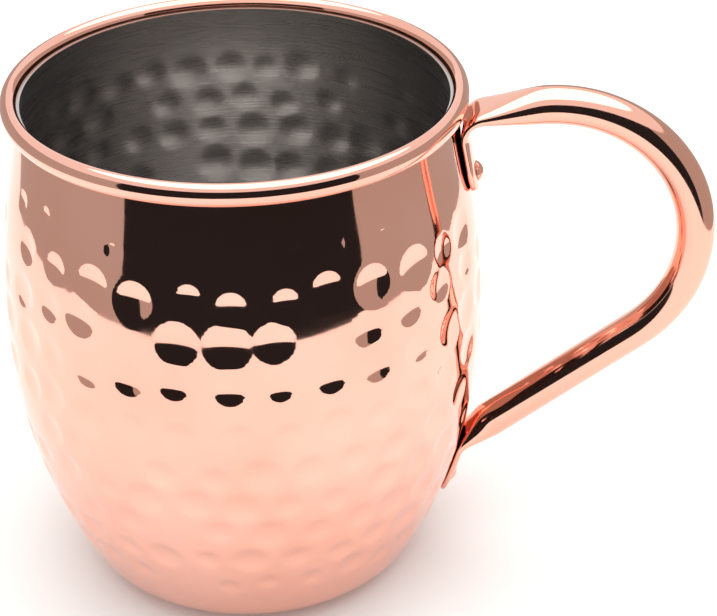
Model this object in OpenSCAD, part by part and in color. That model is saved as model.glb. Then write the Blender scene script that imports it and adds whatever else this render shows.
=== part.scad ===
// Hammered copper mug: a barrel-shaped copper shell with a rolled rim, a thin steel liner,
// and a bent copper tube for a handle, whose flattened ends are riveted through both walls.
// Millimetres. The origin is the middle of the base, +Z is up and the handle stands along +X.

/* [Barrel] */
// Height to the top of the rolled rim
mug_h = 99.5; // [80:0.5:125]
// Widest outside diameter
belly_d = 90; // [70:1:112]
// Height of the widest place above the table
belly_z = 52; // [44:1:62]
// How far the flat of the base stops inside the widest radius
base_in = 19.9; // [16:0.1:25]
// Radius of the corner between the base and the wall
base_corner_r = 11; // [7:0.5:13]

/* [Shoulder and neck] */
// Depth below the top of the rim at which the wall stops bulging and begins to turn up
shoulder_drop = 15; // [13:0.5:20]
// How far the wall stands inside the widest radius there
shoulder_in = 3.6; // [3:0.1:6]
// How far the top of the neck still leans in, in degrees
neck_lean = 7.5; // [4:0.5:9]

/* [Walls and rim] */
// Thickness of the copper sheet
shell_wall = 0.6; // [0.4:0.05:0.9]
// Thickness of the steel liner
liner_wall = 0.4; // [0.3:0.05:0.7]
// Width of the rolled rim, across the bead
bead_w = 3; // [2.4:0.1:4]
// Height of the rolled rim's bead
bead_h = 4; // [3:0.1:5]
// Angle at which the roll stops, measured from the bead's outermost point
bead_stop = -112; // [-120:1:-90]

/* [Handle] */
// Outside diameter of the handle's tube
tube_d = 7; // [5.5:0.1:9]
// Wall of the handle's tube
tube_wall = 0.75; // [0.5:0.05:1]
// Slope of the straight lower arm, in degrees
arm_slope = 40; // [30:1:50]
// Length of the straight run at the top
top_run = 9; // [7:0.5:14]
// Slope of the straight run at the top, in degrees
top_slope = 10; // [0:1:15]
// Radius of the bend from the wall into the lower arm
lower_bend_r = 5; // [3.5:0.5:8]
// Radius of the bend from the top run down on to the wall
upper_bend_r = 3.5; // [2.5:0.5:5]
// Length over which the lower end swells from flat to round
lower_flare = 9; // [6:0.5:14]
// Length over which the upper end swells from flat to round
upper_flare = 18; // [12:0.5:24]
// Length of each flattened end on the wall
tongue_len = 10.5; // [9:0.5:14]
// Clearance between a flattened end and the wall
seat_gap = 0.05; // [0.02:0.01:0.1]

/* [Rivets] */
// Height of the lower rivet above the table
lower_rivet_z = 15.2; // [13:0.1:22]
// Depth of the upper rivet below the top of the rim
upper_rivet_drop = 16.8; // [16:0.1:24]
// Distance from a rivet to the tip of its flattened end
rivet_edge = 2.8; // [2.4:0.1:4]
// Diameter of the rivet's shank
shank_d = 2.4; // [1.8:0.1:3]
// Diameter of the domed head outside
head_d = 3.8; // [3.2:0.1:5]
// Height of the domed head outside
head_h = 1.1; // [0.8:0.1:1.6]
// Diameter of the formed head inside the mug
formed_d = 3.6; // [3:0.1:5]
// Height of the formed head inside the mug
formed_h = 0.7; // [0.5:0.1:1.2]

/* [Hidden] */
// Segments around a whole turn
turn_fn = 96;
// Points along each stretch of the barrel's outline
corner_steps = 8;
wall_steps = 14;
neck_steps = 8;
bead_steps = 16;
// Points around the handle's section
ring_points = 24;
// How boxy the section of a flattened end is: 1 is an ellipse, smaller is squarer
flat_power = 0.55;
// Smallest height of the hollow that is left open in the pinched ends
core_min = 0.5;
// Share of its width that a flattened end keeps at its very tip
tip_share = 0.4;
dome_steps = 8;

belly_r = belly_d / 2;
rim_z = mug_h - bead_h / 2;
shoulder_z = mug_h - shoulder_drop;

// The wall is one arc above its widest place and another below, both upright where they meet.
upper_r = (pow(shoulder_z - belly_z, 2) + pow(shoulder_in, 2)) / (2 * shoulder_in);
corner_rise = belly_z - base_corner_r;
lower_r = (pow(base_in, 2) + pow(corner_rise, 2) - pow(base_corner_r, 2))
        / (2 * (base_in - base_corner_r));
// Angle below level at which the lower arc runs into the corner of the base
corner_angle = asin(corner_rise / (lower_r - base_corner_r));

// The neck is a hollow arc that carries on from the upper one and is steeper at the rim.
shoulder_lean = asin((shoulder_z - belly_z) / upper_r);
neck_r = (rim_z - shoulder_z) / (sin(shoulder_lean) - sin(neck_lean));
neck_top_r = belly_r - shoulder_in - neck_r * (cos(neck_lean) - cos(shoulder_lean));

function ease(t) = let (u = max(0, min(1, t))) u * u * (3 - 2 * u);
function arc_r(z, r) = belly_r - r + sqrt(r * r - pow(z - belly_z, 2));
function lean_at(z) = asin(sin(neck_lean) + (rim_z - z) / neck_r);
function wall_r(z) =
    z < belly_z ? arc_r(z, lower_r) :
    z < shoulder_z ? arc_r(z, upper_r) :
    neck_top_r + neck_r * (cos(neck_lean) - cos(lean_at(min(z, rim_z))));

// Outside of the barrel, as [radius, height], from the middle of the base to the rim
corner_c = [belly_r - base_in, base_corner_r];
low_c = [belly_r - lower_r, belly_z];
outline = concat(
    [[0, 0]],
    [for (i = [0 : corner_steps - 1])
        let (a = -90 + (90 - corner_angle) * i / corner_steps)
        corner_c + base_corner_r * [cos(a), sin(a)]],
    [for (i = [0 : wall_steps - 1])
        let (a = -corner_angle * (1 - i / wall_steps))
        low_c + lower_r * [cos(a), sin(a)]],
    [for (i = [0 : wall_steps - 1])
        let (z = belly_z + (shoulder_z - belly_z) * i / wall_steps)
        [wall_r(z), z]],
    [for (i = [0 : neck_steps])
        let (z = shoulder_z + (rim_z - shoulder_z) * i / neck_steps)
        [wall_r(z), z]]
);

// The outline moved inwards by d: each point goes along the normal of its neighbours' chord
function inset(d) =
    let (last = len(outline) - 1)
    [for (i = [0 : last])
        let (chord = outline[min(i + 1, last)] - outline[max(i - 1, 0)])
        i == 0 ? [0, d] : outline[i] + d * [-chord.y, chord.x] / norm(chord)];

function reversed(p) = [for (i = [len(p) - 1 : -1 : 0]) p[i]];

// One side of the rolled rim: an upright oval about the bead's middle
bead_c = [neck_top_r - shell_wall + bead_w / 2, rim_z];
function bead_oval(inwards) =
    [for (i = [1 : bead_steps])
        let (a = 180 + (bead_stop - 180) * i / bead_steps)
        bead_c + [(bead_w / 2 - inwards) * cos(a), (bead_h / 2 - inwards) * sin(a)]];

module spun(points) {
    rotate_extrude($fn = turn_fn)
        polygon(points);
}

// Where the flattened ends lie. Every place on the handle is [x, z] in its own upright plane.
function along(a) = [cos(a), sin(a)];
function left_of(a) = [-sin(a), cos(a)];
tongue_t = 2 * tube_wall;
tongue_off = tongue_t / 2 + seat_gap;

// Lower end: it follows the lower arc of the wall.
low_line_r = lower_r + tongue_off;
low_rivet_a = asin((belly_z - lower_rivet_z) / lower_r);
low_tip_a = low_rivet_a + rivet_edge / low_line_r * 180 / PI;
low_joint_a = low_tip_a - tongue_len / low_line_r * 180 / PI;
low_tip = low_c + low_line_r * along(-low_tip_a);
low_joint = low_c + low_line_r * along(-low_joint_a);
low_rivet = low_c + low_line_r * along(-low_rivet_a);

// Upper end: it stands straight on the wall, leaned in until it touches the wall above its tip.
up_rivet_z = mug_h - upper_rivet_drop;
up_tip_z = up_rivet_z - rivet_edge;
up_lean = min([for (i = [1 : 20])
    let (rise = tongue_len * i / 20)
    atan((wall_r(up_tip_z) - wall_r(up_tip_z + rise)) / rise)]);
up_heading = 270 + up_lean;
up_tip = [wall_r(up_tip_z), up_tip_z] + tongue_off * along(up_lean);
up_joint = up_tip - tongue_len * along(up_heading);
up_rivet = up_tip - rivet_edge * along(up_heading);
// Distance from the middle of the flattened end to the wall at the upper rivet
up_stand_off = (up_rivet.x - wall_r(up_rivet.y)) * cos(up_lean);

// The two bends at the wall end at arm_start and top_end.
low_heading = 90 - low_joint_a;
top_heading = 180 + top_slope;
arm_start = low_joint + lower_bend_r * (left_of(arm_slope) - left_of(low_heading));
top_end = up_joint + upper_bend_r * (left_of(up_heading) - left_of(top_heading));

// The length of the arm and the radius of the grip are what close the loop between them.
closing = top_end - arm_start + top_run * along(top_slope);
closing_det = 1 + cos(arm_slope - top_slope);
grip_r = (closing.y * cos(arm_slope) - closing.x * sin(arm_slope)) / closing_det;
arm_len = (closing.x * (cos(top_slope) + cos(arm_slope))
        + closing.y * (sin(top_slope) + sin(arm_slope))) / closing_det;
arm_end = arm_start + arm_len * along(arm_slope);
top_start = top_end + top_run * along(top_slope);

// Places along the handle as [[x, z], heading]. Each stretch leaves out its own last place.
function bend(p, a0, a1, r, steps) =
    let (side = sign(a1 - a0), c = p + side * r * left_of(a0))
    [for (i = [0 : steps - 1])
        let (a = a0 + (a1 - a0) * i / steps)
        [c - side * r * left_of(a), a]];
function straight(p, q, a, steps) =
    [for (i = [0 : steps - 1]) [p + (q - p) * i / steps, a]];
flare_end = arm_start + min(lower_flare, arm_len / 2) * along(arm_slope);
route = concat(
    bend(low_tip, 90 - low_tip_a, low_heading, low_line_r, 7),
    bend(low_joint, low_heading, arm_slope, lower_bend_r, 4),
    straight(arm_start, flare_end, arm_slope, 6),
    straight(flare_end, arm_end, arm_slope, 2),
    bend(arm_end, arm_slope, top_heading, grip_r, 22),
    straight(top_start, top_end, top_heading, 6),
    bend(top_end, top_heading, up_heading, upper_bend_r, 8),
    straight(up_joint, up_tip, up_heading, 7),
    [[up_tip, up_heading]]
);
route_last = len(route) - 1;
// Distance from the lower tip to each place
travel = [for (i = 0, s = 0; i <= route_last;
    s = s + norm(route[min(i + 1, route_last)][0] - route[i][0]), i = i + 1) s];

// How round the tube is at a place: 0 on the flattened ends, 1 on the grip
function roundness(i) =
    min(ease((travel[i] - tongue_len) / lower_flare),
        ease((travel[route_last] - travel[i] - tongue_len) / upper_flare));
function depth(i) = tongue_t + (tube_d - tongue_t) * roundness(i);
// The tube keeps its girth as it is pressed flat, so it widens.
function breadth(i) = depth(i) + (tube_d - depth(i)) * PI / 2;
function tip_round(i) =
    let (d = min(travel[i], travel[route_last] - travel[i]), r = breadth(0) / 2)
    d >= r ? 1 : tip_share + (1 - tip_share) * sqrt(1 - pow(1 - d / r, 2));
function signed_power(v, e) = sign(v) * pow(abs(v), e);

// Section of the tube at place i, pressed in by the given wall, and bent round the barrel
function ring(i, wall) =
    let (p = route[i][0], a = route[i][1], k = roundness(i),
        e = flat_power + (1 - flat_power) * k,
        wall_side = 2 * i < route_last ? 1 : -1)
    [for (j = [0 : ring_points - 1])
        let (t = 360 * j / ring_points,
            y = (breadth(i) / 2 * tip_round(i) - wall) * signed_power(cos(t), e),
            hug = (1 - k) * wall_side * y * y / (2 * belly_r),
            u = (depth(i) / 2 - wall) * signed_power(sin(t), e) + hug,
            q = p + u * left_of(a))
        [q.x, y, q.y]];

// Closed tube through the rings, with a fan of triangles over each end
module swept(rings) {
    n = ring_points;
    last = len(rings) - 1;
    points = [for (r = rings) each r];
    sides = [for (i = [0 : last - 1], j = [0 : n - 1])
        let (k = (j + 1) % n)
        each [[i * n + j, i * n + n + j, i * n + n + k], [i * n + j, i * n + n + k, i * n + k]]];
    caps = [for (j = [1 : n - 2])
        each [[0, j, j + 1], [last * n, last * n + j + 1, last * n + j]]];
    polyhedron(points, concat(sides, caps));
}

// A shallow dome of the given diameter and height, standing on z = 0
module dome(d, h) {
    r = (d * d / 4 + h * h) / (2 * h);
    spread = asin(d / 2 / r);
    spun(concat([[0, 0]],
        [for (i = [0 : dome_steps])
            let (a = 90 - spread * (1 - i / dome_steps))
            [max(0, r * cos(a)), h - r + r * sin(a)]]));
}

// Turns +Z to point out of the wall at a place [x, z], at an angle above level
module out_of_wall(p, a) {
    translate([p.x, 0, p.y])
        rotate([0, 90 - a, 0])
            children();
}

// The hole through the flattened end, the shell and the liner, and the shank that fills it
shank_in = 2 * (tongue_t + shell_wall + liner_wall);
module shank_hole(p, a) {
    out_of_wall(p, a)
        translate([0, 0, -shank_in])
            cylinder(h = shank_in + tongue_t, d = shank_d, $fn = turn_fn);
}

module rivet_holes() {
    shank_hole(up_rivet, up_lean);
    shank_hole(low_rivet, -low_rivet_a);
}

module hollow() {
    spun(concat(inset(shell_wall + liner_wall), [[0, rim_z]]));
}

// Domed head outside, shank through the walls, and the head formed against the liner.
// reach is the distance from the middle of the flattened end to the liner's inner face.
module rivet(p, a, reach) {
    out_of_wall(p, a) {
        translate([0, 0, tongue_t / 2])
            dome(head_d, head_h);
        translate([0, 0, -reach - formed_h / 2])
            cylinder(h = reach + (formed_h + tongue_t) / 2, d = shank_d, $fn = turn_fn);
    }
    intersection() {
        out_of_wall(p, a)
            translate([0, 0, -reach + formed_h])
                rotate([180, 0, 0]) {
                    cylinder(h = formed_h, d = formed_d, $fn = turn_fn);
                    translate([0, 0, formed_h])
                        dome(formed_d, formed_h);
                }
        hollow();
    }
}

module copper_shell() {
    color("peru")
        difference() {
            spun(concat(outline, bead_oval(shell_wall), reversed(bead_oval(0)),
                [bead_c - [bead_w / 2, 0]], reversed(inset(shell_wall))));
            rivet_holes();
        }
}

module steel_liner() {
    color("silver")
        difference() {
            spun(concat(inset(shell_wall), reversed(inset(shell_wall + liner_wall))));
            rivet_holes();
        }
}

module tube_handle() {
    core = [for (i = [0 : route_last]) if (depth(i) - tongue_t > core_min) ring(i, tube_wall)];
    color("sandybrown")
        difference() {
            swept([for (i = [0 : route_last]) ring(i, 0)]);
            swept(core);
            rivet_holes();
        }
}

module upper_rivet() {
    color("chocolate")
        rivet(up_rivet, up_lean, up_stand_off + shell_wall + liner_wall);
}

module lower_rivet() {
    color("chocolate")
        rivet(low_rivet, -low_rivet_a, tongue_off + shell_wall + liner_wall);
}

copper_shell();
steel_liner();
tube_handle();
upper_rivet();
lower_rivet();
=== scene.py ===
"""Hammered copper mug, lined with steel. Metres, +Z up, the handle stands along +X."""

import math
import random

import bmesh
import bpy
import numpy as np
from mathutils import Matrix, Vector


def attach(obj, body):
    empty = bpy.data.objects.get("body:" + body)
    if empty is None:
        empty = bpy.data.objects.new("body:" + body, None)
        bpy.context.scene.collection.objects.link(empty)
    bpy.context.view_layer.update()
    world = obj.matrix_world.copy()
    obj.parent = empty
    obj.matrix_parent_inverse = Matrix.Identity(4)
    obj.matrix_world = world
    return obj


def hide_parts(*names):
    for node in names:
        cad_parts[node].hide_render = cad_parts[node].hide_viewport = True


bl_info = {
    "name": "Hammered copper mug",
    "version": (1, 0, 0),
    "blender": (4, 5, 0),
    "location": "View3D > Sidebar > Mug",
    "description": "Models a hammered copper mug with a steel liner and a riveted tube handle",
    "category": "Add Mesh",
}

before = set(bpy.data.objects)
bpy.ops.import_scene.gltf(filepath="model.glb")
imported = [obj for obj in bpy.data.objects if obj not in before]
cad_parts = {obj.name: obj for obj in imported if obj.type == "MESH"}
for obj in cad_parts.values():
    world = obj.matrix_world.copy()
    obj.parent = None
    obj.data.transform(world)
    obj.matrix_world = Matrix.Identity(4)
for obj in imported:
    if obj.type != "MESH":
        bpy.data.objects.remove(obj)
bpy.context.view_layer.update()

MM = 0.001

# Gap between places on the faces that nobody sees, between the two sheets
HIDDEN_GAP = 5 * MM
# Faces round a rivet
RIVET_STEPS = 64
# The table reaches far past the mug, and lies a hair below the base so that they don't touch.
TABLE_SIZE = 6.0
TABLE_DROP = 0.05 * MM

# Round each flattened end of the handle the wall has no marks: this far to either side,
# at heights below the first and above the second.
PLAIN_HALF_WIDTH = 8.5 * MM
PLAIN_BELOW = 27 * MM
PLAIN_ABOVE = 75 * MM
# No mark reaches below this height, on to the base.
MARKS_START = 8 * MM
# A vertex this near to a skin of the wall belongs to it.
SKIN_TOLERANCE = 0.15 * MM

# Heights of the rows of hammer marks, and the turn of each row from the front of the mug
ROW_HEIGHTS_MM = (16.0, 23.2, 30.5, 37.8, 45.4, 53.4, 62.8, 71.2, 78.4, 86.2)
ROW_TURNS_DEG = (2.5, -1.5, 3.0, -3.0, 2.0, -4.5, -4.0, -5.0, -3.0, 1.5)


# ---------------------------------------------------------------- colours and nodes


def linear(hex_colour):
    """An sRGB hex colour as linear RGBA."""
    parts = [int(hex_colour[i : i + 2], 16) / 255 for i in (1, 3, 5)]
    return tuple(
        c / 12.92 if c <= 0.04045 else ((c + 0.055) / 1.055) ** 2.4 for c in parts
    ) + (1.0,)


def add_node(tree, kind, links=None, **settings):
    """Adds a node. Settings whose names are sockets go on them; links is {socket: other socket}."""
    node = tree.nodes.new(kind)
    for name, value in settings.items():
        if hasattr(node, name):
            setattr(node, name, value)
        else:
            node.inputs[name.replace("_", " ")].default_value = value
    for socket, source in (links or {}).items():
        tree.links.new(source, node.inputs[socket])
    return node


# ---------------------------------------------------------------- settings


class MugBarrelSettings(bpy.types.PropertyGroup):
    """Sizes of the barrel that the shell and the liner share"""

    height: bpy.props.FloatProperty(
        name="Height", description="Height to the top of the rolled rim",
        default=99.5 * MM, min=0.05, unit="LENGTH")
    belly_radius: bpy.props.FloatProperty(
        name="Belly radius", description="Radius at the widest place",
        default=45 * MM, min=0.02, unit="LENGTH")
    belly_height: bpy.props.FloatProperty(
        name="Belly height", description="Height of the widest place",
        default=52 * MM, unit="LENGTH")
    base_inset: bpy.props.FloatProperty(
        name="Base inset", description="How far the flat base stops inside the widest radius",
        default=19.9 * MM, unit="LENGTH")
    corner_radius: bpy.props.FloatProperty(
        name="Corner radius", description="Radius of the corner between base and wall",
        default=11 * MM, unit="LENGTH")
    shoulder_drop: bpy.props.FloatProperty(
        name="Shoulder drop", description="Depth below the rim at which the wall begins to turn up",
        default=15 * MM, unit="LENGTH")
    shoulder_inset: bpy.props.FloatProperty(
        name="Shoulder inset", description="How far the wall stands inside the belly there",
        default=3.6 * MM, unit="LENGTH")
    neck_lean: bpy.props.FloatProperty(
        name="Neck lean", description="How far the top of the neck still leans in",
        default=math.radians(7.5), subtype="ANGLE", unit="ROTATION")
    sheet: bpy.props.FloatProperty(
        name="Copper sheet", description="Thickness of the copper",
        default=0.6 * MM, unit="LENGTH")
    liner: bpy.props.FloatProperty(
        name="Steel liner", description="Thickness of the steel",
        default=0.4 * MM, unit="LENGTH")
    bead_width: bpy.props.FloatProperty(
        name="Bead width", description="Width of the rolled rim",
        default=3 * MM, unit="LENGTH")
    bead_height: bpy.props.FloatProperty(
        name="Bead height", description="Height of the rolled rim",
        default=4 * MM, unit="LENGTH")
    bead_stop: bpy.props.FloatProperty(
        name="Bead stop", description="Angle at which the roll stops, from its outermost point",
        default=math.radians(-112), subtype="ANGLE", unit="ROTATION")
    turn_steps: bpy.props.IntProperty(
        name="Turn steps", description="Faces round the copper shell", default=480, min=48)
    liner_steps: bpy.props.IntProperty(
        name="Liner steps", description="Faces round the steel liner", default=400, min=48)
    ring_gap: bpy.props.FloatProperty(
        name="Ring gap", description="Height of one face on the hammered wall",
        default=0.78 * MM, min=0.0003, unit="LENGTH")


class MugHammerSettings(bpy.types.PropertyGroup):
    """Where the hammer fell and how hard"""

    front: bpy.props.FloatProperty(
        name="Front", description="Bearing of the mug's front, from which the rows are set out",
        default=math.radians(-80.5), subtype="ANGLE", unit="ROTATION")
    columns: bpy.props.IntProperty(
        name="Columns", description="Marks in each row", default=32, min=8)
    smallest: bpy.props.FloatProperty(
        name="Smallest mark", description="Radius of the smallest mark",
        default=2.6 * MM, unit="LENGTH")
    largest: bpy.props.FloatProperty(
        name="Largest mark", description="Radius of the largest mark",
        default=4.1 * MM, unit="LENGTH")
    steepness: bpy.props.FloatProperty(
        name="Steepness", description="Slope of a mark at its edge",
        default=math.radians(16), subtype="ANGLE", unit="ROTATION")
    wander: bpy.props.FloatProperty(
        name="Wander", description="How far a mark may stand from its place in the row",
        default=1.1 * MM, unit="LENGTH")
    row_sag: bpy.props.FloatProperty(
        name="Row sag", description="How much lower the rows of marks lie at the back",
        default=2.4 * MM, unit="LENGTH")
    plain_neck: bpy.props.FloatProperty(
        name="Plain neck", description="Height above which the copper is left plain",
        default=90 * MM, unit="LENGTH")
    liner_share: bpy.props.FloatProperty(
        name="Liner share", description="Share of a mark's depth that shows through inside",
        default=0.8, min=0, max=1, subtype="FACTOR")
    seed: bpy.props.IntProperty(
        name="Seed", description="Changes how the marks are scattered", default=19203)


class MugHandleSettings(bpy.types.PropertyGroup):
    """Sizes of the bent tube"""

    tube: bpy.props.FloatProperty(
        name="Tube", description="Outside diameter of the tube",
        default=7 * MM, unit="LENGTH")
    tube_wall: bpy.props.FloatProperty(
        name="Tube wall", description="Wall thickness of the tube",
        default=0.75 * MM, unit="LENGTH")
    arm_slope: bpy.props.FloatProperty(
        name="Arm slope", description="Slope of the straight lower arm",
        default=math.radians(40), subtype="ANGLE", unit="ROTATION")
    top_run: bpy.props.FloatProperty(
        name="Top run", description="Length of the straight run at the top",
        default=9 * MM, unit="LENGTH")
    top_slope: bpy.props.FloatProperty(
        name="Top slope", description="Slope of the straight run at the top",
        default=math.radians(10), subtype="ANGLE", unit="ROTATION")
    lower_bend: bpy.props.FloatProperty(
        name="Lower bend", description="Radius of the bend into the lower arm",
        default=5 * MM, unit="LENGTH")
    upper_bend: bpy.props.FloatProperty(
        name="Upper bend", description="Radius of the bend down on to the wall",
        default=3.5 * MM, unit="LENGTH")
    lower_flare: bpy.props.FloatProperty(
        name="Lower flare", description="Length over which the lower end swells to round",
        default=9 * MM, unit="LENGTH")
    upper_flare: bpy.props.FloatProperty(
        name="Upper flare", description="Length over which the upper end swells to round",
        default=18 * MM, unit="LENGTH")
    tongue: bpy.props.FloatProperty(
        name="Flattened end", description="Length of each flattened end",
        default=10.5 * MM, unit="LENGTH")
    seat_gap: bpy.props.FloatProperty(
        name="Seat gap", description="Clearance between a flattened end and the wall",
        default=0.05 * MM, unit="LENGTH")
    boxiness: bpy.props.FloatProperty(
        name="Boxiness", description="1 leaves the flattened section an ellipse, less is squarer",
        default=0.55, min=0.2, max=1)
    tip_share: bpy.props.FloatProperty(
        name="Tip share", description="Share of its width that an end keeps at its tip",
        default=0.4, min=0.1, max=1, subtype="FACTOR")
    section_points: bpy.props.IntProperty(
        name="Section points", description="Points round the tube", default=64, min=12)
    place_gap: bpy.props.FloatProperty(
        name="Place gap", description="Distance between sections of the tube",
        default=0.9 * MM, unit="LENGTH")


class MugRivetSettings(bpy.types.PropertyGroup):
    """Sizes of the two rivets"""

    lower_height: bpy.props.FloatProperty(
        name="Lower rivet", description="Height of the lower rivet",
        default=15.2 * MM, unit="LENGTH")
    upper_drop: bpy.props.FloatProperty(
        name="Upper rivet", description="Depth of the upper rivet below the rim",
        default=16.8 * MM, unit="LENGTH")
    edge: bpy.props.FloatProperty(
        name="Edge distance", description="Distance from a rivet to the tip of its end",
        default=2.8 * MM, unit="LENGTH")
    shank: bpy.props.FloatProperty(
        name="Shank", description="Diameter of the shank", default=2.4 * MM, unit="LENGTH")
    head: bpy.props.FloatProperty(
        name="Head", description="Diameter of the head outside",
        default=3.8 * MM, unit="LENGTH")
    head_rise: bpy.props.FloatProperty(
        name="Head rise", description="Height of the head outside",
        default=1.1 * MM, unit="LENGTH")
    formed: bpy.props.FloatProperty(
        name="Formed head", description="Diameter of the head inside the mug",
        default=3.6 * MM, unit="LENGTH")
    formed_rise: bpy.props.FloatProperty(
        name="Formed rise", description="Height of the head inside the mug",
        default=0.7 * MM, unit="LENGTH")


class MugFinishSettings(bpy.types.PropertyGroup):
    """Colours of the metals"""

    copper: bpy.props.FloatVectorProperty(
        name="Copper", description="Colour of freshly polished copper",
        default=linear("#FAC1AF"), size=4, min=0, max=1, subtype="COLOR")
    copper_warm: bpy.props.FloatVectorProperty(
        name="Warmer copper", description="Colour where the copper has begun to warm",
        default=linear("#F5B6A2"), size=4, min=0, max=1, subtype="COLOR")
    tube_copper: bpy.props.FloatVectorProperty(
        name="Tube copper", description="Colour of the polished copper tube",
        default=linear("#F9BDA8"), size=4, min=0, max=1, subtype="COLOR")
    steel: bpy.props.FloatVectorProperty(
        name="Steel", description="Colour of the satin steel",
        default=linear("#CCC8C6"), size=4, min=0, max=1, subtype="COLOR")
    steel_dull: bpy.props.FloatVectorProperty(
        name="Duller steel", description="Colour of the steel where it is rubbed dull",
        default=linear("#B9B5B2"), size=4, min=0, max=1, subtype="COLOR")


class MugStudioSettings(bpy.types.PropertyGroup):
    """The table, the cards that the copper mirrors, the light and the camera"""

    card_distance: bpy.props.FloatProperty(
        name="Card distance", description="Distance of the cards from the middle of the mug",
        default=0.26, unit="LENGTH")
    card_height: bpy.props.FloatProperty(
        name="Card height", description="Height of the cards", default=0.2, unit="LENGTH")
    dark_from: bpy.props.FloatProperty(
        name="Dark card starts", description="Bearing of the dark card's first edge from the front",
        default=math.radians(-53), subtype="ANGLE", unit="ROTATION")
    dark_to: bpy.props.FloatProperty(
        name="Dark card ends", description="Bearing of the dark card's last edge from the front",
        default=math.radians(51), subtype="ANGLE", unit="ROTATION")
    dark: bpy.props.FloatVectorProperty(
        name="Dark card", description="Colour of the dark card",
        default=linear("#28292B"), size=4, min=0, max=1, subtype="COLOR")
    grey: bpy.props.FloatVectorProperty(
        name="Side cards", description="Colour of the side cards",
        default=linear("#BDB8B3"), size=4, min=0, max=1, subtype="COLOR")
    grey_end: bpy.props.FloatProperty(
        name="Side cards end", description="Bearing of the side cards' last edges from the front",
        default=math.radians(165), subtype="ANGLE", unit="ROTATION")
    table: bpy.props.FloatVectorProperty(
        name="Table", description="Colour of the table",
        default=linear("#F4F3F1"), size=4, min=0, max=1, subtype="COLOR")
    sky: bpy.props.FloatProperty(
        name="Sky", description="Strength of the light from all round", default=1.0, min=0)
    lamp: bpy.props.FloatProperty(
        name="Lamp", description="Power of the soft lamp overhead",
        default=10.0, min=0, unit="POWER")
    lamp_size: bpy.props.FloatProperty(
        name="Lamp size", description="Width of the lamp's round face",
        default=1.6, min=0.01, unit="LENGTH")
    lamp_place: bpy.props.FloatVectorProperty(
        name="Lamp place", description="Place of the lamp, which shines straight down",
        default=(0.1, 0.1, 1.1), size=3, subtype="XYZ", unit="LENGTH")
    camera_place: bpy.props.FloatVectorProperty(
        name="Camera", description="Place of the camera",
        default=(45.68 * MM, -273.90 * MM, 223.75 * MM), size=3, subtype="XYZ", unit="LENGTH")
    camera_heading: bpy.props.FloatProperty(
        name="Camera heading", description="Turn of the camera to the left of straight ahead",
        default=math.radians(5.02), subtype="ANGLE", unit="ROTATION")
    camera_dip: bpy.props.FloatProperty(
        name="Camera dip", description="How far the camera looks down",
        default=math.radians(31.89), subtype="ANGLE", unit="ROTATION")
    camera_roll: bpy.props.FloatProperty(
        name="Camera roll", description="Turn of the camera about its own view",
        default=math.radians(-0.34), subtype="ANGLE", unit="ROTATION")
    lens: bpy.props.FloatProperty(
        name="Lens", description="Focal length in millimetres on a 36 mm sensor", default=85.21)


# ---------------------------------------------------------------- outlines


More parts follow.
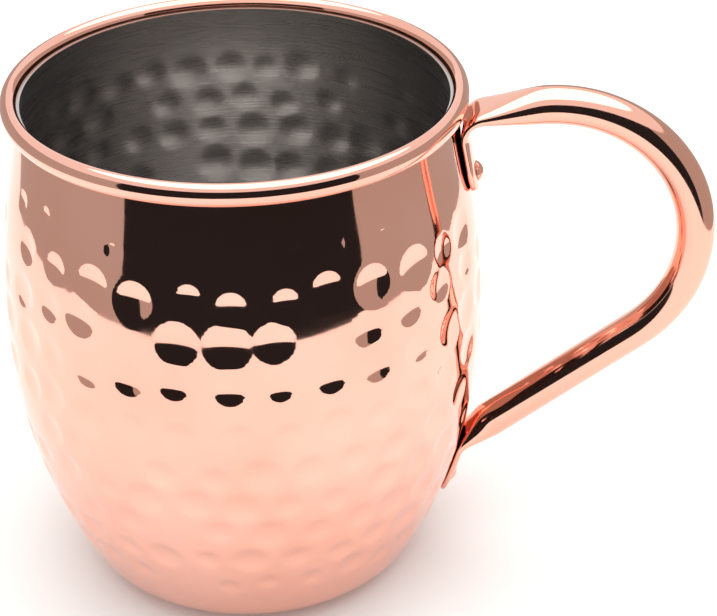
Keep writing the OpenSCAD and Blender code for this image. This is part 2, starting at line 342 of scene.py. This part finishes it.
class Barrel:
    """The barrel's outside, worked out from its sizes: two bulging arcs and a hollow neck."""

    def __init__(self, sizes):
        s = self.sizes = sizes
        self.rim = s.height - s.bead_height / 2
        self.shoulder = s.height - s.shoulder_drop
        above = self.shoulder - s.belly_height
        self.upper_r = (above**2 + s.shoulder_inset**2) / (2 * s.shoulder_inset)
        rise = s.belly_height - s.corner_radius
        self.lower_r = (s.base_inset**2 + rise**2 - s.corner_radius**2) / (
            2 * (s.base_inset - s.corner_radius))
        self.corner_lean = math.asin(rise / (self.lower_r - s.corner_radius))
        shoulder_lean = math.asin(above / self.upper_r)
        self.neck_r = (self.rim - self.shoulder) / (
            math.sin(shoulder_lean) - math.sin(s.neck_lean))
        self.neck_top = (s.belly_radius - s.shoulder_inset
                         - self.neck_r * (math.cos(s.neck_lean) - math.cos(shoulder_lean)))
        self.bead_middle = (self.neck_top - s.sheet + s.bead_width / 2, self.rim)

    def radius(self, z):
        """Outside radius of the wall at height z."""
        s = self.sizes
        if z < self.shoulder:
            r = self.lower_r if z < s.belly_height else self.upper_r
            return s.belly_radius - r + math.sqrt(r * r - (z - s.belly_height) ** 2)
        sine = math.sin(s.neck_lean) + (self.rim - min(z, self.rim)) / self.neck_r
        return self.neck_top + self.neck_r * (
            math.cos(s.neck_lean) - math.sqrt(1 - sine * sine))

    def lean(self, z):
        """How far the wall's outward normal stands above level at height z."""
        step = 0.02 * MM
        return math.atan2(self.radius(z - step) - self.radius(z + step), 2 * step)

    def outline(self, gap, base_gap=7 * MM):
        """Places from the middle of the base to the rim, with a gap between those on the wall."""
        s = self.sizes
        flat = s.belly_radius - s.base_inset
        places = [(flat * i / round(flat / base_gap), 0.0)
                  for i in range(round(flat / base_gap))]
        # The corner turns through a little over a radian.
        steps = max(6, round(s.corner_radius * 1.2 / max(gap, 0.8 * MM)))
        for i in range(steps):
            a = -math.pi / 2 + (math.pi / 2 - self.corner_lean) * i / steps
            places.append((flat + s.corner_radius * math.cos(a),
                           s.corner_radius + s.corner_radius * math.sin(a)))
        foot = s.belly_height - self.lower_r * math.sin(self.corner_lean)
        steps = round((self.rim - foot) / gap)
        for i in range(steps + 1):
            z = foot + (self.rim - foot) * i / steps
            places.append((self.radius(z), z))
        return places

    def inset(self, depth, gap):
        """The outline moved inwards by a depth."""
        places = self.outline(gap)
        moved = [(0.0, depth)]
        for i in range(1, len(places)):
            a, b = places[i - 1], places[min(i + 1, len(places) - 1)]
            length = math.hypot(b[0] - a[0], b[1] - a[1])
            moved.append((places[i][0] - depth * (b[1] - a[1]) / length,
                          places[i][1] + depth * (b[0] - a[0]) / length))
        return moved

    def bead(self, inwards, steps=20):
        """One face of the rolled rim, from the inside of the mug over the top and down."""
        s = self.sizes
        turn = [math.pi + (s.bead_stop - math.pi) * i / steps for i in range(1, steps + 1)]
        return [(self.bead_middle[0] + (s.bead_width / 2 - inwards) * math.cos(a),
                 self.bead_middle[1] + (s.bead_height / 2 - inwards) * math.sin(a))
                for a in turn]


class HandleRoute:
    """The tube's middle line in the XZ plane, as [place, heading, distance] from tip to tip."""

    def __init__(self, barrel, sizes, rivets):
        s, b = sizes, barrel.sizes
        self.sizes, self.barrel = s, barrel
        self.flat = 2 * s.tube_wall
        off = self.flat / 2 + s.seat_gap
        self.off = off
        low_middle = Vector((b.belly_radius - barrel.lower_r, b.belly_height))
        line_r = barrel.lower_r + off
        self.low_rivet_dip = math.asin((b.belly_height - rivets.lower_height) / barrel.lower_r)
        tip_dip = self.low_rivet_dip + rivets.edge / line_r
        joint_dip = tip_dip - s.tongue / line_r
        low_tip = low_middle + line_r * along(-tip_dip)
        low_joint = low_middle + line_r * along(-joint_dip)
        self.low_rivet = low_middle + line_r * along(-self.low_rivet_dip)

        tip_z = b.height - rivets.upper_drop - rivets.edge
        self.up_lean = min(
            math.atan((barrel.radius(tip_z) - barrel.radius(tip_z + s.tongue * i / 20))
                      / (s.tongue * i / 20)) for i in range(1, 21))
        up_heading = 1.5 * math.pi + self.up_lean
        up_tip = Vector((barrel.radius(tip_z), tip_z)) + off * along(self.up_lean)
        up_joint = up_tip - s.tongue * along(up_heading)
        self.up_rivet = up_tip - rivets.edge * along(up_heading)
        self.up_stand_off = ((self.up_rivet.x - barrel.radius(self.up_rivet.y))
                             * math.cos(self.up_lean))

        low_heading = math.pi / 2 - joint_dip
        top_heading = math.pi + s.top_slope
        arm_start = low_joint + s.lower_bend * (left_of(s.arm_slope) - left_of(low_heading))
        top_end = up_joint + s.upper_bend * (left_of(up_heading) - left_of(top_heading))
        closing = top_end - arm_start + s.top_run * along(s.top_slope)
        share = 1 + math.cos(s.arm_slope - s.top_slope)
        grip_r = (closing.y * math.cos(s.arm_slope) - closing.x * math.sin(s.arm_slope)) / share
        arm = (closing.x * (math.cos(s.top_slope) + math.cos(s.arm_slope))
               + closing.y * (math.sin(s.top_slope) + math.sin(s.arm_slope))) / share
        arm_end = arm_start + arm * along(s.arm_slope)
        top_start = top_end + s.top_run * along(s.top_slope)

        fine = 0.35 * MM
        places = self.bend(low_tip, math.pi / 2 - tip_dip, low_heading, line_r, fine)
        places += self.bend(low_joint, low_heading, s.arm_slope, s.lower_bend, fine)
        places += self.straight(arm_start, arm_end, s.arm_slope, s.place_gap)
        places += self.bend(arm_end, s.arm_slope, top_heading, grip_r, s.place_gap)
        places += self.straight(top_start, top_end, top_heading, s.place_gap)
        places += self.bend(top_end, top_heading, up_heading, s.upper_bend, fine)
        places += self.straight(up_joint, up_tip, up_heading, fine)
        places.append((up_tip, up_heading))
        self.places, gone = [], 0.0
        for i, (place, heading) in enumerate(places):
            gone += (place - places[max(i - 1, 0)][0]).length
            self.places.append((place, heading, gone))
        self.length = gone

    @staticmethod
    def bend(start, heading, end_heading, radius, gap):
        side = 1 if end_heading > heading else -1
        middle = start + side * radius * left_of(heading)
        steps = max(2, round(abs(end_heading - heading) * radius / gap))
        turns = [heading + (end_heading - heading) * i / steps for i in range(steps)]
        return [(middle - side * radius * left_of(a), a) for a in turns]

    @staticmethod
    def straight(start, end, heading, gap):
        steps = max(2, round((end - start).length / gap))
        return [(start.lerp(end, i / steps), heading) for i in range(steps)]

    def section(self, index):
        """The tube's section as points: round on the grip, pressed flat and bent on the wall."""
        s = self.sizes
        place, heading, gone = self.places[index]
        left = self.length - gone
        roundness = min(ease((gone - s.tongue) / s.lower_flare),
                        ease((left - s.tongue) / s.upper_flare))
        depth = self.flat + (s.tube - self.flat) * roundness
        # The tube keeps its girth as it is pressed, so it widens.
        breadth = depth + (s.tube - depth) * math.pi / 2
        flat_r = (self.flat + (s.tube - self.flat) * math.pi / 2) / 2
        tip = min(gone, left)
        if tip < flat_r:
            breadth *= s.tip_share + (1 - s.tip_share) * math.sqrt(1 - (1 - tip / flat_r) ** 2)
        power = s.boxiness + (1 - s.boxiness) * roundness
        wall_side = 1 if gone < left else -1
        side = left_of(heading)
        points = []
        for j in range(s.section_points):
            t = 2 * math.pi * j / s.section_points
            y = breadth / 2 * signed_power(math.cos(t), power)
            hug = (1 - roundness) * wall_side * y * y / (2 * self.barrel.sizes.belly_radius)
            u = depth / 2 * signed_power(math.sin(t), power) + hug
            points.append(Vector((place.x + u * side.x, y, place.y + u * side.y)))
        return points


def along(angle):
    return Vector((math.cos(angle), math.sin(angle)))


def left_of(angle):
    return Vector((-math.sin(angle), math.cos(angle)))


def ease(t):
    t = max(0.0, min(1.0, t))
    return t * t * (3 - 2 * t)


def signed_power(value, power):
    return math.copysign(abs(value) ** power, value)


# ---------------------------------------------------------------- modelling by hand


def start_piece(name):
    """A single vertex at the origin, in edit mode, from which an outline is extruded."""
    bpy.ops.object.select_all(action="DESELECT")
    bpy.ops.mesh.primitive_plane_add(size=2 * MM, location=(0, 0, 0))
    piece = bpy.context.active_object
    piece.name = piece.data.name = name
    bpy.ops.object.mode_set(mode="EDIT")
    bpy.ops.mesh.select_all(action="SELECT")
    bpy.ops.mesh.merge(type="CENTER")
    return piece


def turn_outline(name, outline, steps):
    """Extrudes a vertex along an outline of [radius, height] and spins it round the Z axis."""
    piece = start_piece(name)
    bpy.ops.transform.translate(value=(outline[0][0], 0, outline[0][1]))
    for (r0, z0), (r1, z1) in zip(outline, outline[1:]):
        bpy.ops.mesh.extrude_region_move(TRANSFORM_OT_translate={"value": (r1 - r0, 0, z1 - z0)})
    bpy.ops.mesh.select_all(action="SELECT")
    bpy.ops.mesh.spin(steps=steps, angle=2 * math.pi, center=(0, 0, 0), axis=(0, 0, 1))
    bpy.ops.mesh.select_all(action="SELECT")
    bpy.ops.mesh.remove_doubles(threshold=0.002 * MM)
    bpy.ops.mesh.normals_make_consistent(inside=False)
    bpy.ops.object.mode_set(mode="OBJECT")
    return piece


def apply_modifier(piece, kind, name, **settings):
    bpy.context.view_layer.objects.active = piece
    modifier = piece.modifiers.new(name, kind)
    for key, value in settings.items():
        setattr(modifier, key, value)
    bpy.ops.object.modifier_apply(modifier=modifier.name)


def finish_piece(piece, material, slot, *nodes, edge=40):
    """Smooths a piece, gives it its finish, and sets it in the frame in place of its CAD nodes."""
    bpy.ops.object.select_all(action="DESELECT")
    piece.select_set(True)
    bpy.context.view_layer.objects.active = piece
    bpy.ops.object.shade_smooth_by_angle(angle=math.radians(edge))
    piece.data.materials.clear()
    piece.data.materials.append(material)
    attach(piece, "root")
    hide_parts(*nodes)


def hammer_marks(barrel, hammer):
    """Bearing, height and radius of every mark, in rows, each mark a little astray."""
    dice = random.Random(hammer.seed)
    marks = []
    for row, (height, turn) in enumerate(zip(ROW_HEIGHTS_MM, ROW_TURNS_DEG)):
        height *= MM
        top_row = row == len(ROW_HEIGHTS_MM) - 1
        # Low on the barrel there is less room, so the marks are smaller.
        room = barrel.radius(height) / barrel.sizes.belly_radius
        for i in range(hammer.columns):
            column = math.radians(turn) + 2 * math.pi * i / hammer.columns
            wander = dice.uniform(-1, 1), dice.uniform(-1, 1)
            size, luck = dice.random(), dice.random()
            to_front = math.cos(column)
            bearing = hammer.front + column + wander[0] * hammer.wander / barrel.radius(height)
            z = height + wander[1] * hammer.wander - hammer.row_sag * (1 - to_front) / 2
            # A few blows missed, and the front of the top row is light and broken.
            if luck < (0.25 + 0.25 * to_front if top_row else 0.06):
                continue
            radius = room * (hammer.smallest + (hammer.largest - hammer.smallest) * size)
            marks.append((bearing, z, radius * (0.7 - 0.3 * to_front if top_row else 1.0)))
    return marks


def clear_of_handle(bearing, z, barrel):
    """True away from the two flattened ends of the handle, where the wall is left plain."""
    across = abs(math.remainder(bearing, 2 * math.pi)) * barrel.radius(z)
    return across > PLAIN_HALF_WIDTH or PLAIN_BELOW < z < PLAIN_ABOVE


def mark_group(piece, barrel, hammer, skin_depth=0.0, spread=0.0, power=1.0):
    """Weighs the vertices of one skin by how deep the hammer marks reach there.

    Gives the vertex group's name and the depth that a weight of 1 stands for. The spread widens
    each mark, and a power above 1 softens its edge.
    """
    slope = math.tan(hammer.steepness)
    deepest = hammer.largest * slope / 2
    places = np.empty(len(piece.data.vertices) * 3)
    piece.data.vertices.foreach_get("co", places)
    places = places.reshape(-1, 3)
    reach = np.hypot(places[:, 0], places[:, 1])
    bearing = np.arctan2(places[:, 1], places[:, 0])
    height = places[:, 2]
    wall = np.array([barrel.radius(min(max(z, 2 * MM), barrel.rim)) for z in height])
    skin = ((np.abs(wall - skin_depth - reach) < SKIN_TOLERANCE)
            & (height > MARKS_START) & (height < hammer.plain_neck))
    depth = np.zeros(len(places))
    for mark_bearing, z, radius in hammer_marks(barrel, hammer):
        if not clear_of_handle(mark_bearing, z, barrel):
            continue
        turn = np.remainder(bearing - mark_bearing + math.pi, 2 * math.pi) - math.pi
        up = (height - z) / math.cos(barrel.lean(z))
        share = 1 - (np.hypot(turn * barrel.radius(z), up) / (radius + spread)) ** 2
        dent = radius * slope / 2 * np.clip(share, 0, 1) ** power
        depth = np.maximum(depth, np.where(skin, dent, 0))
    group = piece.vertex_groups.new(name="hammer marks")
    for index in np.nonzero(depth > 0)[0]:
        group.add([int(index)], float(depth[index] / deepest), "REPLACE")
    return group.name, deepest


# ---------------------------------------------------------------- finishes


def metal(name):
    """A material with a Principled shader for a bare metal, and its Object coordinates."""
    material = bpy.data.materials.new(name)
    material.use_nodes = True
    tree = material.node_tree
    tree.nodes.clear()
    coords = add_node(tree, "ShaderNodeTexCoord").outputs["Object"]
    shader = add_node(tree, "ShaderNodeBsdfPrincipled", Metallic=1.0)
    add_node(tree, "ShaderNodeOutputMaterial", {"Surface": shader.outputs["BSDF"]})
    return material, tree, coords, shader


def polished_copper_sheet(finish):
    """Copper sheet, hammered, buffed to a mirror and lacquered: sharp, slightly rippled
    reflections, a pink colour that warms in soft clouds, and a faint haze from the buffing."""
    material, tree, coords, shader = metal("Polished copper sheet")
    # The colour drifts over patches of about 30 mm, as the lacquer lets in a little air.
    drift = add_node(tree, "ShaderNodeTexNoise", {"Vector": coords}, Scale=33.0, Detail=2.0)
    ramp = add_node(tree, "ShaderNodeMapRange", {"Value": drift.outputs["Fac"]},
                    From_Min=0.35, From_Max=0.7)
    tint = add_node(tree, "ShaderNodeMix", {"Factor": ramp.outputs["Result"]}, data_type="RGBA")
    tint.inputs["A"].default_value = finish.copper
    tint.inputs["B"].default_value = finish.copper_warm
    tree.links.new(tint.outputs["Result"], shader.inputs["Base Color"])
    # Buffing haze in streaks 2 mm high and 12 mm long: the roughness goes from 0.03 to 0.075.
    streak = add_node(tree, "ShaderNodeMapping", {"Vector": coords}, Scale=(80, 80, 500))
    haze = add_node(tree, "ShaderNodeTexNoise", {"Vector": streak.outputs["Vector"]},
                    Scale=1.0, Detail=3.0)
    rough = add_node(tree, "ShaderNodeMapRange", {"Value": haze.outputs["Fac"]},
                     From_Min=0.3, From_Max=0.75, To_Min=0.03, To_Max=0.075)
    tree.links.new(rough.outputs["Result"], shader.inputs["Roughness"])
    # Between the marks the sheet waves over about 9 mm, by a few hundredths of a millimetre.
    wave = add_node(tree, "ShaderNodeTexNoise", {"Vector": coords}, Scale=110.0, Detail=1.0)
    bump = add_node(tree, "ShaderNodeBump", {"Height": wave.outputs["Fac"]},
                    Strength=1.0, Distance=0.045 * MM)
    # Orange peel of the lacquer, 0.9 mm across and a few micrometres deep
    peel = add_node(tree, "ShaderNodeTexNoise", {"Vector": coords}, Scale=1100.0, Detail=1.0)
    fine = add_node(tree, "ShaderNodeBump",
                    {"Height": peel.outputs["Fac"], "Normal": bump.outputs["Normal"]},
                    Strength=1.0, Distance=0.0006 * MM)
    tree.links.new(fine.outputs["Normal"], shader.inputs["Normal"])
    return material


def polished_copper_tube(finish):
    """Drawn copper tube, buffed along its length and lacquered: clean mirror lines with a
    little haze, and a colour slightly deeper than the sheet's."""
    material, tree, coords, shader = metal("Polished copper tube")
    drift = add_node(tree, "ShaderNodeTexNoise", {"Vector": coords}, Scale=50.0, Detail=2.0)
    tint = add_node(tree, "ShaderNodeMix", {"Factor": drift.outputs["Fac"]}, data_type="RGBA")
    tint.inputs["A"].default_value = finish.tube_copper
    tint.inputs["B"].default_value = finish.copper_warm
    tree.links.new(tint.outputs["Result"], shader.inputs["Base Color"])
    # Buffing haze in spots of 3 mm: the roughness goes from 0.05 to 0.1.
    haze = add_node(tree, "ShaderNodeTexNoise", {"Vector": coords}, Scale=330.0, Detail=3.0)
    rough = add_node(tree, "ShaderNodeMapRange", {"Value": haze.outputs["Fac"]},
                     From_Min=0.3, From_Max=0.75, To_Min=0.05, To_Max=0.1)
    tree.links.new(rough.outputs["Result"], shader.inputs["Roughness"])
    # Die marks: the tube's face waves over 5 mm by a hundredth of a millimetre.
    wave = add_node(tree, "ShaderNodeTexNoise", {"Vector": coords}, Scale=200.0, Detail=1.0)
    bump = add_node(tree, "ShaderNodeBump", {"Height": wave.outputs["Fac"]},
                    Strength=1.0, Distance=0.012 * MM)
    tree.links.new(bump.outputs["Normal"], shader.inputs["Normal"])
    return material


def satin_steel(finish):
    """Stainless steel sheet, spun and satin finished: grey, with soft wide highlights that
    break up along fine rings round the wall, and duller patches."""
    material, tree, coords, shader = metal("Satin stainless steel")
    # Rings 0.5 mm high that run far round the wall; the real ones are finer, and would not show.
    stretch = add_node(tree, "ShaderNodeMapping", {"Vector": coords}, Scale=(30, 30, 2000))
    rings = add_node(tree, "ShaderNodeTexNoise", {"Vector": stretch.outputs["Vector"]},
                     Scale=1.0, Detail=4.0)
    patch = add_node(tree, "ShaderNodeTexNoise", {"Vector": coords}, Scale=60.0, Detail=2.0)
    tint = add_node(tree, "ShaderNodeMix", {"Factor": patch.outputs["Fac"]}, data_type="RGBA")
    tint.inputs["A"].default_value = finish.steel
    tint.inputs["B"].default_value = finish.steel_dull
    tree.links.new(tint.outputs["Result"], shader.inputs["Base Color"])
    rough = add_node(tree, "ShaderNodeMapRange", {"Value": rings.outputs["Fac"]},
                     From_Min=0.25, From_Max=0.75, To_Min=0.22, To_Max=0.36)
    tree.links.new(rough.outputs["Result"], shader.inputs["Roughness"])
    bump = add_node(tree, "ShaderNodeBump", {"Height": rings.outputs["Fac"]},
                    Strength=1.0, Distance=0.0015 * MM)
    tree.links.new(bump.outputs["Normal"], shader.inputs["Normal"])
    return material


def made_once(maker, finish):
    """The material that a maker makes, made at its first use."""
    key = maker.__name__
    for material in bpy.data.materials:
        if material.get("made by") == key:
            return material
    material = maker(finish)
    material["made by"] = key
    return material


# ---------------------------------------------------------------- operators


class MESH_OT_mug_shell(bpy.types.Operator):
    """Spin the copper shell with its rolled rim and hammer its wall"""

    bl_idname = "mesh.mug_shell"
    bl_label = "Copper shell"
    bl_options = {"REGISTER", "UNDO"}

    def execute(self, context):
        scene = context.scene
        sizes = scene.mug_barrel
        barrel = Barrel(sizes)
        outline = barrel.outline(sizes.ring_gap)
        outline += barrel.bead(sizes.sheet)
        outline += reversed(barrel.bead(0))
        outline.append((barrel.bead_middle[0] - sizes.bead_width / 2, barrel.rim))
        outline += reversed(barrel.inset(sizes.sheet, HIDDEN_GAP))
        shell = turn_outline("Hammered_copper_shell", outline, sizes.turn_steps)
        group, deepest = mark_group(shell, barrel, scene.mug_hammer)
        apply_modifier(shell, "DISPLACE", "Hammering", vertex_group=group, direction="NORMAL",
                       mid_level=0, strength=-deepest)
        finish_piece(shell, made_once(polished_copper_sheet, scene.mug_finish),
                     "polished_copper", "copper_shell")
        return {"FINISHED"}


class MESH_OT_mug_liner(bpy.types.Operator):
    """Spin the steel liner, with the hammer marks standing up inside"""

    bl_idname = "mesh.mug_liner"
    bl_label = "Steel liner"
    bl_options = {"REGISTER", "UNDO"}

    def execute(self, context):
        scene = context.scene
        sizes, hammer = scene.mug_barrel, scene.mug_hammer
        barrel = Barrel(sizes)
        outline = barrel.inset(sizes.sheet, HIDDEN_GAP)
        outline += reversed(barrel.inset(sizes.sheet + sizes.liner, sizes.ring_gap))
        liner = turn_outline("Spun_steel_liner", outline, sizes.liner_steps)
        # Two sheets soften a mark, so the bumps are a little wider and have no edge.
        group, deepest = mark_group(liner, barrel, hammer, spread=0.7 * MM, power=1.6,
                                    skin_depth=sizes.sheet + sizes.liner)
        apply_modifier(liner, "DISPLACE", "Bumps", vertex_group=group, direction="NORMAL",
                       mid_level=0, strength=deepest * hammer.liner_share)
        finish_piece(liner, made_once(satin_steel, scene.mug_finish),
                     "liner_steel", "steel_liner")
        return {"FINISHED"}


class MESH_OT_mug_handle(bpy.types.Operator):
    """Extrude the tube along its bends, with both ends pressed flat on the wall"""

    bl_idname = "mesh.mug_handle"
    bl_label = "Tube handle"
    bl_options = {"REGISTER", "UNDO"}

    def execute(self, context):
        scene = context.scene
        sizes = scene.mug_handle
        route = HandleRoute(Barrel(scene.mug_barrel), sizes, scene.mug_rivets)
        bpy.ops.object.select_all(action="DESELECT")
        bpy.ops.mesh.primitive_circle_add(vertices=sizes.section_points, radius=sizes.tube / 2,
                                          fill_type="NGON", location=(0, 0, 0))
        tube = context.active_object
        tube.name = tube.data.name = "Copper_tube_handle"
        bpy.ops.object.mode_set(mode="EDIT")
        bpy.ops.mesh.select_all(action="SELECT")
        self.set_section(tube, route.section(0))
        for index in range(1, len(route.places)):
            bpy.ops.mesh.extrude_region_move(
                MESH_OT_extrude_region={"use_dissolve_ortho_edges": False},
                TRANSFORM_OT_translate={"value": (0, 0, 0)})
            self.set_section(tube, route.section(index))
        bpy.ops.mesh.select_all(action="SELECT")
        bpy.ops.mesh.normals_make_consistent(inside=False)
        bpy.ops.object.mode_set(mode="OBJECT")
        # The shears leave sharp edges on the tips, which the buffing wheel breaks.
        apply_modifier(tube, "BEVEL", "Broken edges", width=0.25 * MM, segments=3,
                       limit_method="ANGLE", angle_limit=math.radians(55))
        finish_piece(tube, made_once(polished_copper_tube, scene.mug_finish),
                     "polished_copper", "tube_handle", edge=50)
        return {"FINISHED"}

    @staticmethod
    def set_section(tube, points):
        """Moves the selected ring on to a section's points; its vertices were made in order."""
        shape = bmesh.from_edit_mesh(tube.data)
        face = next(f for f in shape.faces if f.select)
        ring = sorted(face.verts, key=lambda vertex: vertex.index)
        for vertex, point in zip(ring, points):
            vertex.co = point
        bmesh.update_edit_mesh(tube.data)


class MESH_OT_mug_rivets(bpy.types.Operator):
    """Turn the two rivets and set them through the ends of the handle"""

    bl_idname = "mesh.mug_rivets"
    bl_label = "Rivets"
    bl_options = {"REGISTER", "UNDO"}

    def execute(self, context):
        scene = context.scene
        sizes, walls = scene.mug_rivets, scene.mug_barrel
        route = HandleRoute(Barrel(walls), scene.mug_handle, sizes)
        both_walls = walls.sheet + walls.liner
        material = made_once(polished_copper_tube, scene.mug_finish)
        for name, node, place, lean, reach in (
            ("Upper_dome_rivet", "upper_rivet", route.up_rivet, route.up_lean,
             route.up_stand_off + both_walls),
            ("Lower_dome_rivet", "lower_rivet", route.low_rivet, -route.low_rivet_dip,
             route.off + both_walls),
        ):
            rivet = turn_outline(name, self.outline(sizes, route.flat / 2, reach),
                                 RIVET_STEPS)
            rivet.matrix_world = (Matrix.Translation((place.x, 0, place.y))
                                  @ Matrix.Rotation(math.pi / 2 - lean, 4, "Y"))
            bpy.ops.object.transform_apply(location=True, rotation=True, scale=True)
            finish_piece(rivet, material, "polished_copper", node, edge=50)
        return {"FINISHED"}

    @staticmethod
    def outline(sizes, seat, reach):
        """From the top of the domed head, down the shank, to the foot of the formed head."""
        places = [(x, seat + z) for x, z in dome(sizes.head / 2, sizes.head_rise)]
        places.append((sizes.shank / 2, seat))
        places.append((sizes.shank / 2, -reach))
        places += [(x, -reach - z) for x, z in reversed(dome(sizes.formed / 2,
                                                             sizes.formed_rise))]
        return places


def dome(half_width, rise, steps=12):
    """A shallow dome from its top to its edge, as [half width, height]."""
    ball = (half_width**2 + rise**2) / (2 * rise)
    spread = math.asin(min(1.0, half_width / ball))
    return [(ball * math.sin(spread * i / steps), rise - ball + ball * math.cos(spread * i / steps))
            for i in range(steps + 1)]


class SCENE_OT_mug_studio(bpy.types.Operator):
    """Set the table, the cards, the light and the camera"""

    bl_idname = "scene.mug_studio"
    bl_label = "Studio"
    bl_options = {"REGISTER", "UNDO"}

    def execute(self, context):
        scene = context.scene
        studio = scene.mug_studio
        scene.view_settings.view_transform = "Standard"
        self.table(studio)
        front = scene.mug_hammer.front
        dark_from, dark_to = studio.dark_from, studio.dark_to
        self.card("Dark card", studio.dark, front + dark_from, front + dark_to, studio)
        self.card("Left card", studio.grey, front - studio.grey_end, front + dark_from, studio)
        self.card("Right card", studio.grey, front + dark_to, front + studio.grey_end, studio)
        self.light(context, studio)
        camera_data = bpy.data.cameras.new("Camera")
        camera_data.lens, camera_data.sensor_width = studio.lens, 36.0
        camera_data.clip_start = 0.01
        camera = bpy.data.objects.new("Camera", camera_data)
        camera.matrix_world = (
            Matrix.Translation(studio.camera_place)
            @ Matrix.Rotation(studio.camera_heading, 4, "Z")
            @ Matrix.Rotation(math.pi / 2 - studio.camera_dip, 4, "X")
            @ Matrix.Rotation(studio.camera_roll, 4, "Z"))
        scene.collection.objects.link(camera)
        scene.camera = camera
        return {"FINISHED"}

    @staticmethod
    def table(studio):
        bpy.ops.object.select_all(action="DESELECT")
        bpy.ops.mesh.primitive_plane_add(size=TABLE_SIZE, location=(0, 0, -TABLE_DROP))
        table = bpy.context.active_object
        table.name = table.data.name = "Table"
        bpy.ops.object.transform_apply(location=True, rotation=True, scale=True)
        material = bpy.data.materials.new("Matt white laminate")
        material.use_nodes = True
        shader = material.node_tree.nodes["Principled BSDF"]
        shader.inputs["Base Color"].default_value = studio.table
        shader.inputs["Roughness"].default_value = 0.7
        shader.inputs["Specular IOR Level"].default_value = 0.1
        table.data.materials.append(material)

    @staticmethod
    def card(name, colour, start, end, studio):
        """A curved card that stands round the mug and is seen only mirrored in the metal."""
        bpy.ops.object.select_all(action="DESELECT")
        card = start_piece(name)
        reach = studio.card_distance
        bpy.ops.transform.translate(
            value=(reach * math.cos(start), reach * math.sin(start), 0.5 * MM))
        bpy.ops.mesh.extrude_region_move(
            TRANSFORM_OT_translate={"value": (0, 0, studio.card_height)})
        bpy.ops.mesh.select_all(action="SELECT")
        # About this axis the spin runs from the start bearing to the end bearing.
        bpy.ops.mesh.spin(steps=48, angle=end - start, center=(0, 0, 0), axis=(0, 0, -1))
        bpy.ops.object.mode_set(mode="OBJECT")
        material = bpy.data.materials.new(name)
        material.use_nodes = True
        tree = material.node_tree
        tree.nodes.clear()
        glow = add_node(tree, "ShaderNodeEmission", Color=colour)
        add_node(tree, "ShaderNodeOutputMaterial", {"Surface": glow.outputs["Emission"]})
        card.data.materials.append(material)
        card.visible_camera = card.visible_diffuse = card.visible_shadow = False

    @staticmethod
    def light(context, studio):
        world = bpy.data.worlds.new("Studio")
        context.scene.world = world
        world.use_nodes = True
        sky = world.node_tree.nodes["Background"]
        sky.inputs["Color"].default_value = (1, 1, 1, 1)
        sky.inputs["Strength"].default_value = studio.sky
        lamp_data = bpy.data.lights.new("Overhead lamp", "AREA")
        lamp_data.shape, lamp_data.size = "DISK", studio.lamp_size
        lamp_data.energy = studio.lamp
        lamp = bpy.data.objects.new("Overhead lamp", lamp_data)
        lamp.location = studio.lamp_place
        lamp.visible_camera = False
        context.scene.collection.objects.link(lamp)


class VIEW3D_PT_mug(bpy.types.Panel):
    """Lists the mug's pieces and their sizes"""

    bl_label = "Copper mug"
    bl_idname = "VIEW3D_PT_mug"
    bl_space_type = "VIEW_3D"
    bl_region_type = "UI"
    bl_category = "Mug"

    def draw(self, context):
        for name, operator in (
            ("mug_barrel", MESH_OT_mug_shell), ("mug_hammer", MESH_OT_mug_liner),
            ("mug_handle", MESH_OT_mug_handle), ("mug_rivets", MESH_OT_mug_rivets),
            ("mug_studio", SCENE_OT_mug_studio), ("mug_finish", None),
        ):
            box = self.layout.box()
            settings = getattr(context.scene, name)
            for key in settings.bl_rna.properties.keys():
                if key not in ("rna_type", "name"):
                    box.prop(settings, key)
            if operator:
                box.operator(operator.bl_idname)


GROUPS = {
    "mug_barrel": MugBarrelSettings,
    "mug_hammer": MugHammerSettings,
    "mug_handle": MugHandleSettings,
    "mug_rivets": MugRivetSettings,
    "mug_finish": MugFinishSettings,
    "mug_studio": MugStudioSettings,
}
CLASSES = (*GROUPS.values(), MESH_OT_mug_shell, MESH_OT_mug_liner, MESH_OT_mug_handle,
           MESH_OT_mug_rivets, SCENE_OT_mug_studio, VIEW3D_PT_mug)


def register():
    for cls in CLASSES:
        bpy.utils.register_class(cls)
    for name, group in GROUPS.items():
        setattr(bpy.types.Scene, name, bpy.props.PointerProperty(type=group))


def unregister():
    for name in GROUPS:
        delattr(bpy.types.Scene, name)
    for cls in reversed(CLASSES):
        bpy.utils.unregister_class(cls)


def main():
    register()
    bpy.ops.mesh.mug_shell()
    bpy.ops.mesh.mug_liner()
    bpy.ops.mesh.mug_handle()
    bpy.ops.mesh.mug_rivets()
    bpy.ops.scene.mug_studio()


if __name__ == "__main__":
    main()
